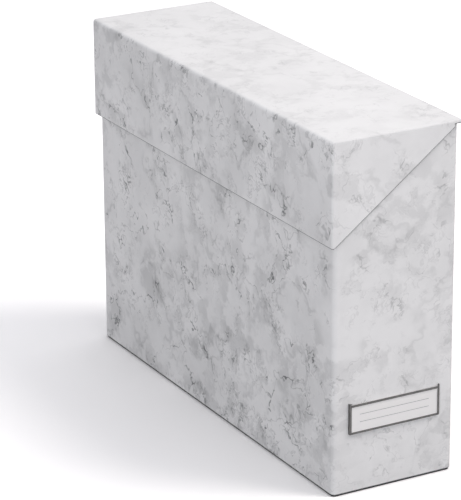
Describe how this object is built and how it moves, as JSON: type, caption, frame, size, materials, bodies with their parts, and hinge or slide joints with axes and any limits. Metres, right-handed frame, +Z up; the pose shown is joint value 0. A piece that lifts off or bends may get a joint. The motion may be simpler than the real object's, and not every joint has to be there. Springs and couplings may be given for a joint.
{
  "type": "file box",
  "caption": "Tall narrow paper-covered file box with a hinged wedge-ended lid, a metal label holder on one end and folder rails inside.",
  "frame": {"origin": "on the table, under the middle of the whole box", "axes": "+Z up, +Y along the length away from the label end, +X across towards the hinge side"},
  "size_m": [0.1058, 0.3622, 0.265],
  "materials": {
    "marble_paper": "satin marble-print covering paper on greyboard",
    "dark_board": "matte dark paper board",
    "hinge_cloth": "matte cloth-backed paper",
    "nickel_steel": "darkened nickel plate, satin",
    "zinc_steel": "bright zinc plate",
    "white_card": "matte white card"
  },
  "bodies": {
    "box": {"tray": "marble_paper", "base_board": "dark_board", "hinge_strip_wall_leaf": "hinge_cloth", "label_holder": "nickel_steel", "label_card": "white_card", "folder_rail_label_end": "zinc_steel", "folder_rail_far_end": "zinc_steel", "rivet_label_end_1": "zinc_steel", "rivet_label_end_2": "zinc_steel", "rivet_far_end_1": "zinc_steel", "rivet_far_end_2": "zinc_steel"},
    "lid": {"lid": "marble_paper", "hinge_strip_lid_leaf": "hinge_cloth"}
  },
  "joints": [
    {"name": "lid_hinge", "type": "hinge", "parent": "box", "child": "lid", "pos_m": [0.05085, 0, 0.2619], "axis": [0, 1, 0], "range_deg": [0, 95]}
  ]
}
